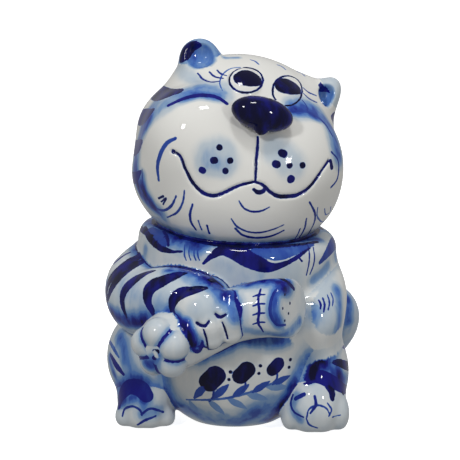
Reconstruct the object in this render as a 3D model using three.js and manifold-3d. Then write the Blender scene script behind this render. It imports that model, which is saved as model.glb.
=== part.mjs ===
// A glazed porcelain souvenir figurine: a fat, smiling cat that sits upright and hugs a sausage.
// Millimetres, +Z up. The cat's body faces -Y; "left" and "right" are the cat's own.
// Every piece is a lump or a limb, trimmed so that it meets its neighbours along a thin luting gap.

import * as THREE from "three";
import { mergeVertices } from "three/addons/utils/BufferGeometryUtils.js";
import Module from "manifold-3d";

const wasm = await Module();
wasm.setup();

// ---------------------------------------------------------------- driving dimensions

const body = 38; // half the width of the body; every part below the neck is a multiple of it
const head = 40; // half the width of the head across the cheeks; head parts are multiples of it
const headMiddle = 106; // height of the middle of the head above the base
const headRoll = 12; // degrees the head leans towards the cat's own left shoulder
const headYaw = 13; // degrees the face turns towards the cat's own left
const headPitch = 8; // degrees the face looks up

const wall = 3.5; // thickness of the slip-cast body and head
const gap = 0.3; // luting gap between neighbouring pieces
const ventRadius = 1.8; // the firing vents in the base and in the neck

const glaze = { color: 0xe9e7e0, roughness: 0.12, metalness: 0 };
const paleBlueGlaze = { color: 0xb9c8e4, roughness: 0.12, metalness: 0 };
const cobaltGlaze = { color: 0x1c2476, roughness: 0.1, metalness: 0 };

// ---------------------------------------------------------------- lumps: blends of ellipsoids

function turned(degrees) {
  const [x, y, z] = degrees.map(THREE.MathUtils.degToRad);
  return new THREE.Quaternion().setFromEuler(new THREE.Euler(x, y, z, "ZYX"));
}

// An ellipsoid whose place and radii are multiples of a unit length.
function ellipsoid(unit, centre, radii, turn = [0, 0, 0]) {
  return {
    centre: new THREE.Vector3(...centre).multiplyScalar(unit),
    radii: new THREE.Vector3(...radii).multiplyScalar(unit),
    turn: turned(turn),
  };
}

const headTurn = new THREE.Quaternion()
  .multiply(turned([-headPitch, 0, 0]))
  .multiply(turned([0, headRoll, 0]))
  .multiply(turned([0, 0, headYaw]));

// An ellipsoid that is placed in the leaning head's own frame.
function headEllipsoid(centre, radii, turn) {
  const part = ellipsoid(head, centre, radii, turn);
  part.centre.applyQuaternion(headTurn);
  part.centre.add(new THREE.Vector3(0, 0, headMiddle));
  part.turn.premultiply(headTurn);
  return part;
}

// Roughly the distance from a point to an ellipsoid's skin, below zero inside it.
function distanceTo({ centre, radii, turn }, point) {
  const local = point.clone().sub(centre).applyQuaternion(turn.clone().invert());
  const scaled = local.clone().divide(radii);
  const steepness = scaled.clone().divide(radii).length();
  const depth = scaled.length();
  return steepness > 0 ? (depth * (depth - 1)) / steepness : -radii.x;
}

// The lower of two distances, rounded off where they are closer together than the blend.
function blended(a, b, blend) {
  const closeness = Math.max(blend - Math.abs(a - b), 0) / blend;
  return Math.min(a, b) - (closeness * closeness * blend) / 4;
}

// A ball whose skin is pushed out from its middle until it lies on the blended ellipsoids.
function lump({ ellipsoids, blend = 1, sides = 20 }, grow = 0) {
  const ball = merged(new THREE.SphereGeometry(1, sides, Math.round(sides * 0.66)));
  ball.rotateX(Math.PI / 2);
  const skin = ball.getAttribute("position");
  const middle = ellipsoids[0].centre;
  const farthest = 3 * Math.max(...ellipsoids[0].radii);
  for (let i = 0; i < skin.count; i++) {
    const direction = new THREE.Vector3().fromBufferAttribute(skin, i).normalize();
    let inside = 0;
    let outside = farthest;
    while (outside - inside > 0.005) {
      const reach = (inside + outside) / 2;
      const point = middle.clone().addScaledVector(direction, reach);
      const distance = ellipsoids
        .map((part) => distanceTo(part, point))
        .reduce((a, b) => blended(a, b, blend));
      if (distance < grow) inside = reach;
      else outside = reach;
    }
    skin.setXYZ(i, ...middle.clone().addScaledVector(direction, inside));
  }
  return solid(ball);
}

// ---------------------------------------------------------------- limbs: lathed and bent

// A limb's ends: how far round the cap, as [share of the radius, share pushed out beyond the end].
const roundCap = [0, 22, 45, 68].map((degrees) => {
  const angle = THREE.MathUtils.degToRad(degrees);
  return [Math.sin(angle), Math.cos(angle)];
});
const slicedCap = [
  [0, 0.02],
  [0.45, 0.02],
  [0.9, 0],
];

// A limb through stations of [x, y, z, radius]: a lathed capsule bent along a curve.
function limb({ stations, startCap = roundCap, endCap = roundCap, sides = 16, rings = 10 }, grow = 0) {
  const curve = new THREE.CatmullRomCurve3(
    stations.map(([x, y, z]) => new THREE.Vector3(x, y, z).multiplyScalar(body)),
  );
  const radii = new THREE.CatmullRomCurve3(
    stations.map(([, , , radius]) => new THREE.Vector3(radius * body, 0, 0)),
  );
  const frames = curve.computeFrenetFrames(rings);
  const profile = [
    ...startCap.map(([share, out]) => ({ share, out: -out, ring: 0 })),
    ...Array.from({ length: rings + 1 }, (_, ring) => ({ share: 1, out: 0, ring })),
    ...endCap.toReversed().map(([share, out]) => ({ share, out, ring: rings })),
  ];
  const straight = merged(
    new THREE.LatheGeometry(
      profile.map(({ share }, row) => new THREE.Vector2(share, row)),
      sides,
    ),
  );
  const skin = straight.getAttribute("position");
  for (let i = 0; i < skin.count; i++) {
    const { out, ring } = profile[Math.round(skin.getY(i))];
    const along = ring / rings;
    const radius = radii.getPoint(curve.getUtoTmapping(along)).x + grow;
    const place = curve
      .getPointAt(along)
      .addScaledVector(frames.tangents[ring], out * radius)
      .addScaledVector(frames.normals[ring], skin.getX(i) * radius)
      .addScaledVector(frames.binormals[ring], skin.getZ(i) * radius);
    skin.setXYZ(i, ...place);
  }
  return solid(straight);
}

// ---------------------------------------------------------------- solids

// The geometry's bare positions, with the vertices along its seam and poles joined up.
function merged(geometry) {
  const bare = new THREE.BufferGeometry();
  bare.setAttribute("position", geometry.getAttribute("position"));
  bare.setIndex(geometry.getIndex());
  return mergeVertices(bare, 1e-4);
}

function solid(geometry) {
  const { index, attributes } = merged(geometry);
  const mesh = new wasm.Mesh({
    numProp: 3,
    vertProperties: new Float32Array(attributes.position.array),
    triVerts: new Uint32Array(index.array),
  });
  const made = new wasm.Manifold(mesh);
  if (made.volume() > 0) return made;
  return new wasm.Manifold(
    new wasm.Mesh({
      numProp: 3,
      vertProperties: mesh.vertProperties,
      triVerts: mesh.triVerts.toReversed(),
    }),
  );
}

// Everything below a height, as a slab to cut with.
function slabBelow(height) {
  const size = 8 * body;
  return solid(new THREE.BoxGeometry(size, size, size).translate(0, 0, height - size / 2));
}

// An upright round pin to bore with.
function pin(x, y, bottom, top) {
  const rod = new THREE.CylinderGeometry(ventRadius, ventRadius, top - bottom, 24);
  return solid(rod.rotateX(Math.PI / 2).translate(x, y, (bottom + top) / 2));
}

function largest(shape) {
  return shape.decompose().reduce((a, b) => (b.volume() > a.volume() ? b : a));
}

function union(shapes) {
  return shapes.reduce((a, b) => a.add(b));
}

// ---------------------------------------------------------------- the cat's shapes
// Each entry makes one piece's untrimmed shape, grown by some millimetres.

const torsoLump = {
  ellipsoids: [
    ellipsoid(body, [0, -0.16, 0.82], [0.92, 0.87, 0.9]), // belly
    ellipsoid(body, [0, 0.16, 1.32], [1, 0.82, 0.84]), // chest and back
    ellipsoid(body, [0, 0.37, 0.72], [1, 0.68, 0.84]), // seat
  ],
  blend: 8,
  sides: 34,
};

const headLump = {
  ellipsoids: [
    headEllipsoid([0.06, -0.06, -0.25], [1.02, 0.87, 0.75], [0, -6, 0]), // jowls
    headEllipsoid([0.05, -0.42, -0.54], [0.62, 0.42, 0.39], [0, -8, 0]), // chin
    headEllipsoid([0.08, 0.1, 0.24], [0.87, 0.75, 0.7]), // skull
    headEllipsoid([-0.5, 0.05, 0.08], [0.45, 0.6, 0.4]), // back of the right cheek
    headEllipsoid([-0.4, -0.4, 0], [0.55, 0.45, 0.5]), // right muzzle pad
    headEllipsoid([0.4, -0.4, 0], [0.55, 0.45, 0.5]), // left muzzle pad
    headEllipsoid([-0.53, 0, 0.62], [0.16, 0.2, 0.22]), // root of the right ear
    headEllipsoid([0.62, 0, 0.58], [0.2, 0.2, 0.22]), // root of the left ear
  ],
  blend: 8,
  sides: 38,
};

// The neckerchief: a barrel-shaped oval band with rounded edges, tipped a little with the head.
function scarf(grow) {
  const radius = body + grow;
  const half = 0.28 * body + grow;
  const edge = 0.12 * body;
  const corner = [0, 30, 60, 90].map((degrees) => {
    const angle = THREE.MathUtils.degToRad(degrees);
    return [radius - edge * (1 - Math.cos(angle)), half - edge * (1 - Math.sin(angle))];
  });
  const outline = [
    [0, -half],
    ...corner.toReversed().map(([x, y]) => [x, -y]),
    ...corner,
    [0, half],
  ];
  const band = new THREE.LatheGeometry(
    outline.map(([x, y]) => new THREE.Vector2(x, y)),
    34,
  );
  band.rotateX(Math.PI / 2).scale(1.02, 0.95, 1).applyQuaternion(turned([5, 4, 0]));
  return solid(band.translate(0.02 * body, 0, 1.72 * body));
}

// An ear: an ellipsoid with the hollow of another scooped out of its front.
function cupped(outside, hollow, grow) {
  return lump({ ellipsoids: [outside] }, grow).subtract(lump({ ellipsoids: [hollow] }));
}

// A foot: a domed instep and four toes along its front, the outer ones smaller and farther back.
function foot({ x, y, z, instep, toe, toeHeight }, grow) {
  const dome = lump({ ellipsoids: [ellipsoid(body, [x, y, z], instep)], sides: 18 }, grow);
  const toes = [-1.5, -0.5, 0.5, 1.5].map((place) => {
    const aside = place * 1.35 * toe;
    const front = y - 0.62 * instep[1] + 0.45 * Math.abs(aside);
    const share = 1.06 - 0.12 * Math.abs(place);
    const size = [share * toe, share * 1.35 * toe, share * toeHeight];
    return lump({ ellipsoids: [ellipsoid(body, [x + aside, front, size[2]], size)], sides: 10 }, grow);
  });
  return union([dome, ...toes]);
}

// The right paw: its back, with three fingers that hang over the sausage.
function paw(grow) {
  const back = lump({ ellipsoids: [ellipsoid(body, [-0.3, -1.15, 1.32], [0.31, 0.26, 0.26])] }, grow);
  const fingers = [0, 1, 2].map((finger) => {
    const x = -0.43 + 0.185 * finger;
    const tip = 1.02 + 0.055 * finger;
    const stations = [
      [x, -1.2, tip + 0.28, 0.12],
      [x, -1.31, tip + 0.14, 0.12],
      [x + 0.02, -1.28, tip, 0.115],
    ];
    return limb({ stations, sides: 10, rings: 4 }, grow);
  });
  return union([back, ...fingers]);
}

// Where the sausage runs, from its tied end, which turns to the front, to its sliced end.
const sausageStations = [
  [-0.65, -1.18, 1.01, 0.3],
  [-0.54, -1.12, 1.04, 0.3],
  [-0.3, -1.07, 1.13, 0.275],
  [-0.03, -1.08, 1.25, 0.265],
  [0.28, -1.1, 1.33, 0.285],
  [0.56, -1.14, 1.34, 0.295],
  [0.85, -1.16, 1.34, 0.295],
];
const sliceMiddle = new THREE.Vector3(0.58, -1.13, 1.33).multiplyScalar(body);
const sliceFacing = new THREE.Vector3(0.88, -0.47, 0.05).normalize();

function slicedSausage(grow) {
  const whole = limb({ stations: sausageStations, startCap: slicedCap, rings: 12 }, grow);
  const reach = sliceMiddle.dot(sliceFacing) + grow;
  return whole.trimByPlane(sliceFacing.toArray().map((side) => -side), -reach);
}

// The puckered skin of the sausage's tied end: five lobes in a ring round a knot.
function tiedEnd(grow) {
  const facing = new THREE.Vector3(-0.5, -0.8, -0.3).normalize();
  const turn = new THREE.Quaternion().setFromUnitVectors(new THREE.Vector3(0, 0, 1), facing);
  const [x, y, z] = sausageStations[0];
  const middle = new THREE.Vector3(x, y, z).addScaledVector(facing, 0.14);
  const knot = lump({ ellipsoids: [ellipsoid(body, middle, [0.2, 0.13, 0.2])], sides: 12 }, grow);
  const lobes = Array.from({ length: 5 }, (_, lobe) => {
    const angle = ((lobe + 0.25) / 5) * 2 * Math.PI;
    const centre = new THREE.Vector3(Math.cos(angle), Math.sin(angle), 0).multiplyScalar(0.165);
    centre.applyQuaternion(turn).add(middle);
    return lump({ ellipsoids: [ellipsoid(body, centre, [0.155, 0.16, 0.155])], sides: 12 }, grow);
  });
  return union([knot, ...lobes]);
}

const shapes = {
  torso_shell: (grow) => lump(torsoLump, grow),
  head_shell: (grow) => lump(headLump, grow),
  neckerchief: scarf,
  ear_right: (grow) =>
    cupped(
      headEllipsoid([-0.54, -0.05, 0.79], [0.19, 0.15, 0.18], [0, -20, 0]),
      headEllipsoid([-0.565, -0.19, 0.8], [0.14, 0.1, 0.125], [-15, -20, 0]),
      grow,
    ),
  ear_left: (grow) =>
    cupped(
      headEllipsoid([0.76, -0.02, 0.68], [0.14, 0.17, 0.22], [0, 22, 0]),
      headEllipsoid([0.72, -0.19, 0.68], [0.08, 0.1, 0.13], [-10, 22, 0]),
      grow,
    ),
  nose: (grow) =>
    lump(
      {
        ellipsoids: [
          headEllipsoid([-0.01, -0.88, 0.345], [0.3, 0.16, 0.16], [0, 1, 0]),
          headEllipsoid([0, -0.92, 0.205], [0.065, 0.06, 0.06]),
        ],
        blend: 1,
      },
      grow,
    ),
  eye_right: (grow) =>
    lump({ ellipsoids: [headEllipsoid([-0.14, -0.48, 0.62], [0.17, 0.06, 0.18], [-40, 0, -7])] }, grow),
  eye_left: (grow) =>
    lump({ ellipsoids: [headEllipsoid([0.27, -0.46, 0.61], [0.17, 0.06, 0.18], [-42, 0, 12])] }, grow),
  arm_right: (grow) =>
    limb(
      {
        stations: [
          [-0.86, 0.2, 1.6, 0.26],
          [-0.98, -0.16, 1.43, 0.33],
          [-0.9, -0.55, 1.3, 0.35],
          [-0.6, -0.86, 1.37, 0.33],
          [-0.3, -0.99, 1.36, 0.28],
        ],
      },
      grow,
    ),
  paw_right: paw,
  arm_left: (grow) =>
    limb(
      {
        stations: [
          [0.72, 0.1, 1.63, 0.24],
          [0.82, -0.18, 1.37, 0.3],
          [0.83, -0.42, 1.2, 0.28],
          [0.81, -0.57, 1.13, 0.24],
        ],
      },
      grow,
    ),
  sausage: slicedSausage,
  sausage_tied_end: tiedEnd,
  haunch_left: (grow) =>
    lump({ ellipsoids: [ellipsoid(body, [0.79, -0.21, 0.53], [0.38, 0.55, 0.53])] }, grow),
  haunch_right: (grow) =>
    lump({ ellipsoids: [ellipsoid(body, [-0.88, -0.16, 0.67], [0.43, 0.53, 0.5])] }, grow),
  foot_left: (grow) =>
    foot({ x: 0.81, y: -0.48, z: 0.27, instep: [0.32, 0.4, 0.37], toe: 0.12, toeHeight: 0.19 }, grow),
  foot_right: (grow) =>
    foot({ x: -0.91, y: -0.32, z: 0.28, instep: [0.29, 0.37, 0.37], toe: 0.105, toeHeight: 0.12 }, grow),
  tail: (grow) =>
    limb(
      {
        stations: [
          [0.13, 0.97, 0.29, 0.21],
          [0.68, 0.95, 0.39, 0.24],
          [0.98, 0.68, 0.71, 0.23],
          [1.06, 0.42, 1.0, 0.25],
          [0.95, 0.38, 1.24, 0.19],
          [0.86, 0.37, 1.62, 0.13],
        ],
        rings: 14,
      },
      grow,
    ),
};

// ---------------------------------------------------------------- trimming

// Each piece is trimmed back by the pieces listed for it, and so lies outside them.
const trimmedBy = {
  torso_shell: ["head_shell"],
  head_shell: [],
  neckerchief: ["torso_shell", "head_shell"],
  ear_right: ["head_shell"],
  ear_left: ["head_shell"],
  nose: ["head_shell"],
  eye_right: ["head_shell", "nose"],
  eye_left: ["head_shell", "nose"],
  sausage: ["torso_shell", "neckerchief"],
  sausage_tied_end: ["torso_shell", "sausage"],
  arm_right: ["torso_shell", "head_shell", "neckerchief", "sausage", "sausage_tied_end"],
  paw_right: ["torso_shell", "neckerchief", "sausage", "sausage_tied_end", "arm_right"],
  arm_left: ["torso_shell", "head_shell", "neckerchief", "sausage"],
  haunch_left: ["torso_shell", "arm_left"],
  haunch_right: ["torso_shell", "arm_right", "sausage", "sausage_tied_end"],
  foot_left: ["torso_shell", "haunch_left"],
  foot_right: ["torso_shell", "haunch_right"],
  tail: ["torso_shell", "neckerchief", "arm_left", "haunch_left"],
};

function trimmed(name) {
  const whole = shapes[name](0);
  const cutters = trimmedBy[name].map((other) => shapes[other](gap));
  return largest(cutters.reduce((a, b) => a.subtract(b), whole).subtract(slabBelow(0)));
}

// The body is hollow: the slip leaves the same wall all round, and two vents let the air out.
function torsoShell() {
  const cavity = lump({ ...torsoLump, sides: 18 }, -wall)
    .subtract(lump({ ...headLump, sides: 18 }, wall + gap))
    .subtract(slabBelow(wall));
  const baseVent = pin(0, 0.1 * body, -wall, 3 * wall);
  return trimmed("torso_shell").subtract(cavity).subtract(baseVent).subtract(neckVent());
}

function headShell() {
  const cavity = lump({ ...headLump, sides: 18 }, -wall);
  return trimmed("head_shell").subtract(cavity).subtract(neckVent());
}

// The vent that joins the body's hollow to the head's.
function neckVent() {
  const floor = headMiddle - 1.09 * head;
  return pin(0, 0.1 * head, floor - 4 * wall, floor + 3 * wall);
}

// ---------------------------------------------------------------- the figurine

const cobaltPieces = ["nose", "eye_right", "eye_left"];
const paleBluePieces = ["neckerchief", "tail", "haunch_left", "haunch_right", "foot_left", "foot_right"];

function glazeOf(name) {
  if (cobaltPieces.includes(name)) return cobaltGlaze;
  if (paleBluePieces.includes(name)) return paleBlueGlaze;
  return glaze;
}

function piece(name, made) {
  const { numProp, vertProperties, triVerts } = made.getMesh();
  if (numProp !== 3) throw new Error(`${name} has stray vertex properties`);
  const geometry = new THREE.BufferGeometry();
  geometry.setAttribute("position", new THREE.BufferAttribute(vertProperties, 3));
  geometry.setIndex(new THREE.BufferAttribute(triVerts, 1));
  geometry.computeVertexNormals();
  const mesh = new THREE.Mesh(geometry, new THREE.MeshStandardMaterial(glazeOf(name)));
  mesh.name = name;
  return mesh;
}

const hollow = { torso_shell: torsoShell, head_shell: headShell };
const figurine = new THREE.Group();
for (const name of Object.keys(shapes)) {
  figurine.add(piece(name, hollow[name] ? hollow[name]() : trimmed(name)));
}

// The figurine stands on the origin, centred over it.
const bounds = new THREE.Box3().setFromObject(figurine);
const middle = bounds.getCenter(new THREE.Vector3());
figurine.position.set(-middle.x, -middle.y, -bounds.min.z);

export default figurine;
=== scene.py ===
"""A glazed, blue-and-white porcelain cat that hugs a sausage, modelled and painted around its CAD frame.

The whole figure is one smooth skin, as a glazed casting is: the parts are blended into one distance field.
The field's surface is meshed, refined where fine brush work lies, and split into one closed shell a part.
Lengths are in millimetres until a mesh is handed to Blender, which works in metres.
"""

import math

import bpy
import numpy as np
import openvdb
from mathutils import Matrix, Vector


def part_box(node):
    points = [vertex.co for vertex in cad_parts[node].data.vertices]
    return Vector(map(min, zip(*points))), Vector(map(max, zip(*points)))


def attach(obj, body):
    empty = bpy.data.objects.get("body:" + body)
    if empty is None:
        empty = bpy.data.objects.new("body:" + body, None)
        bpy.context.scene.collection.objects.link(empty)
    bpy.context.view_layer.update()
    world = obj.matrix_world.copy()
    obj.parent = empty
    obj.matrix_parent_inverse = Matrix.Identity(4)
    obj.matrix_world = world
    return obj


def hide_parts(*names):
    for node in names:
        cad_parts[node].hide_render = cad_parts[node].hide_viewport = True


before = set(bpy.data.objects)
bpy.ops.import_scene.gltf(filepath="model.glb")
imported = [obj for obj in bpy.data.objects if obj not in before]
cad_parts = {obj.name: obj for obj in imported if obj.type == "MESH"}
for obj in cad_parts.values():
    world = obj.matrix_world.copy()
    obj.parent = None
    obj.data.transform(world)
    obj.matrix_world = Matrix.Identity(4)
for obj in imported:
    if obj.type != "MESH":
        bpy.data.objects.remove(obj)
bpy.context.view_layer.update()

MM = 0.001

# ---------------------------------------------------------------- sizes taken from the frame

TORSO_LOW, TORSO_HIGH = (np.array(corner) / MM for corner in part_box("torso_shell"))
BODY = 0.5 * (TORSO_HIGH - TORSO_LOW)[0]  # half the width of the body
SCALE = BODY / 38  # 1 on a cat whose body is 76 mm wide, for which the lengths below are given
HEAD = 40 * SCALE  # half the width of the head
HEAD_MIDDLE = 106 * SCALE
HEAD_ROLL, HEAD_YAW, HEAD_PITCH = 12, 13, 8  # degrees

# The modelling origin is on the base, under the middle of the torso.
# The belly's front is 1.03 BODY before it.
ORIGIN = np.array([0.5 * (TORSO_LOW + TORSO_HIGH)[0], TORSO_LOW[1] + 1.03 * BODY, 0])


def turn_matrix(degrees):
    """The rotation about X, then Y, then Z."""
    x, y, z = (math.radians(angle) for angle in degrees)
    about_x = np.array([[1, 0, 0], [0, math.cos(x), -math.sin(x)], [0, math.sin(x), math.cos(x)]])
    about_y = np.array([[math.cos(y), 0, math.sin(y)], [0, 1, 0], [-math.sin(y), 0, math.cos(y)]])
    about_z = np.array([[math.cos(z), -math.sin(z), 0], [math.sin(z), math.cos(z), 0], [0, 0, 1]])
    return about_z @ about_y @ about_x


HEAD_TURN = turn_matrix([-HEAD_PITCH, 0, 0]) @ turn_matrix([0, HEAD_ROLL, 0]) @ turn_matrix([0, 0, HEAD_YAW])

# ---------------------------------------------------------------- distance fields

FAR = 12.0  # a distance that stands for "too far to matter"


class Ellipsoid:
    """A ball with three radii, in multiples of a unit length."""

    def __init__(self, unit, centre, radii, turn=(0, 0, 0)):
        self.centre = np.array(centre) * unit
        self.radii = np.array(radii) * unit
        self.turn = turn_matrix(turn)

    def carried(self, turn, move):
        self.centre = turn @ self.centre + move
        self.turn = turn @ self.turn
        return self

    def reach(self):
        half = np.sqrt(((self.turn * self.radii) ** 2).sum(axis=1))
        return self.centre - half, self.centre + half

    def distance(self, points):
        local = (points - self.centre) @ self.turn
        scaled = local / self.radii
        depth = np.linalg.norm(scaled, axis=1)
        steepness = np.linalg.norm(scaled / self.radii, axis=1)
        return depth * (depth - 1) / np.maximum(steepness, 1e-9)


class Limb:
    """A round, bent limb through stations of (x, y, z, radius), cut off by a plane if a facing is given."""

    def __init__(self, unit, stations, steps=6, cut_at=None, cut_facing=None):
        line = smooth_line(np.array(stations, float) * unit, steps)
        self.places, self.radii = line[:, :3], line[:, 3]
        self.cut_facing = cut_facing
        if cut_facing is not None:
            self.cut_at = np.array(cut_at) * unit
            self.cut_facing = np.array(cut_facing) / np.linalg.norm(cut_facing)

    def reach(self):
        return (self.places - self.radii[:, None]).min(0), (self.places + self.radii[:, None]).max(0)

    def distance(self, points):
        nearest = distance_along(points, self.places, self.radii)
        if self.cut_facing is not None:
            nearest = blended_out(nearest, (points - self.cut_at) @ self.cut_facing, 2.2)
        return nearest


class Band:
    """A barrel-shaped band round an upright oval, cut off by two planes and rounded at its edges."""

    def __init__(self, unit, centre, radii, half_height, bulge, edge, turn=(0, 0, 0)):
        self.barrel = Ellipsoid(unit, centre, (*radii, bulge), turn)
        self.half_height = half_height * unit
        self.edge = edge * unit

    def reach(self):
        low, high = self.barrel.reach()
        middle = self.barrel.centre[2]
        low[2] = middle - 1.5 * self.half_height
        high[2] = middle + 1.5 * self.half_height
        return low, high

    def distance(self, points):
        height = ((points - self.barrel.centre) @ self.barrel.turn)[:, 2]
        beyond = np.abs(height) - self.half_height
        return blended_out(self.barrel.distance(points), beyond, self.edge)


def distance_along(points, places, radii):
    """The distance to a chain of cones: from place to place, each with its own radius."""
    nearest = np.full(len(points), np.inf)
    for start, end, start_radius, end_radius in zip(places[:-1], places[1:], radii[:-1], radii[1:]):
        along = end - start
        share = np.clip((points - start) @ along / max(along @ along, 1e-9), 0, 1)
        middle = start + share[:, None] * along
        radius = start_radius + share * (end_radius - start_radius)
        nearest = np.minimum(nearest, np.linalg.norm(points - middle, axis=1) - radius)
    return nearest


def smooth_line(stations, steps):
    """A Catmull-Rom line through the stations."""
    ends = [2 * stations[0] - stations[1], *stations, 2 * stations[-1] - stations[-2]]
    line = []
    for a, b, c, d in zip(ends, ends[1:], ends[2:], ends[3:]):
        square = 2 * a - 5 * b + 4 * c - d
        cube = 3 * b - a - 3 * c + d
        for t in np.arange(steps) / steps:
            line.append(0.5 * (2 * b + (c - a) * t + square * t**2 + cube * t**3))
    line.append(stations[-1])
    return np.array(line)


def blended(a, b, blend):
    """The union of two fields, filleted over the blend length."""
    closeness = np.maximum(blend - np.abs(a - b), 0) / blend
    return np.minimum(a, b) - closeness**2 * blend / 4


def blended_out(a, b, blend):
    """The overlap of two fields, rounded over the blend length."""
    return -blended(-a, -b, blend)


def head_ball(centre, radii, turn=(0, 0, 0)):
    """An ellipsoid placed in the leaning head's own frame."""
    return Ellipsoid(HEAD, centre, radii, turn).carried(HEAD_TURN, np.array([0, 0, HEAD_MIDDLE]))


def ball(centre, radii, turn=(0, 0, 0)):
    """An ellipsoid placed in the upright body's frame."""
    return Ellipsoid(BODY, centre, radii, turn)


class Part:
    """One piece of the figure: some lumps, how softly they blend, and how softly the whole joins the rest."""

    def __init__(self, lumps, blend, join, hollow=None):
        self.lumps, self.blend, self.join, self.hollow = lumps, blend, join, hollow

    def distance(self, points):
        total = np.full(len(points), FAR)
        for lump in self.lumps:
            low, high = lump.reach()
            margin = self.blend + FAR / 2
            near = np.all((points > low - margin) & (points < high + margin), axis=1)
            if near.any():
                total[near] = blended(total[near], lump.distance(points[near]), self.blend)
        return total


def foot(x, y, z, instep, toe, toe_height):
    """An instep with four toes along its front; the outer ones are smaller and lie farther back."""
    toes = []
    for place in (-1.5, -0.5, 0.5, 1.5):
        aside = place * 1.35 * toe
        front = y - 0.62 * instep[1] + 0.45 * abs(aside)
        size = (1.06 - 0.12 * abs(place)) * np.array([toe, 1.35 * toe, toe_height])
        toes.append(ball([x + aside, front, size[2]], size))
    return Part([ball([x, y, z], instep), *toes], blend=2.6, join=2.5)


def paw():
    """The back of a paw with three fingers that hang over the sausage."""
    back = ball([-0.3, -1.15, 1.32], [0.31, 0.26, 0.26])
    fingers = []
    for finger in range(3):
        x = -0.43 + 0.185 * finger
        tip = 1.02 + 0.055 * finger
        stations = [(x, -1.2, tip + 0.28, 0.12), (x, -1.31, tip + 0.14, 0.12), (x + 0.02, -1.28, tip, 0.115)]
        fingers.append(Limb(BODY, stations))
    return Part([back, *fingers], blend=1.2, join=1.2)


SAUSAGE_STATIONS = [
    (-0.65, -1.18, 1.01, 0.3),
    (-0.54, -1.12, 1.04, 0.3),
    (-0.3, -1.07, 1.13, 0.275),
    (-0.03, -1.08, 1.25, 0.265),
    (0.28, -1.1, 1.33, 0.285),
    (0.56, -1.14, 1.34, 0.295),
    (0.85, -1.16, 1.34, 0.295),
]


def tied_end():
    """Five puckered lobes in a ring round the knot at the sausage's near end."""
    facing = np.array([-0.5, -0.8, -0.3])
    facing /= np.linalg.norm(facing)
    aside = np.cross([0, 0, 1], facing)
    aside /= np.linalg.norm(aside)
    up = np.cross(facing, aside)
    middle = np.array(SAUSAGE_STATIONS[0][:3]) + 0.14 * facing
    lumps = [ball(middle, [0.2, 0.13, 0.2])]
    for lobe in range(5):
        angle = (lobe + 0.25) / 5 * 2 * math.pi
        centre = middle + 0.165 * (math.cos(angle) * aside + math.sin(angle) * up)
        lumps.append(ball(centre, [0.155, 0.16, 0.155]))
    return Part(lumps, blend=1.2, join=1.0)


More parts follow.
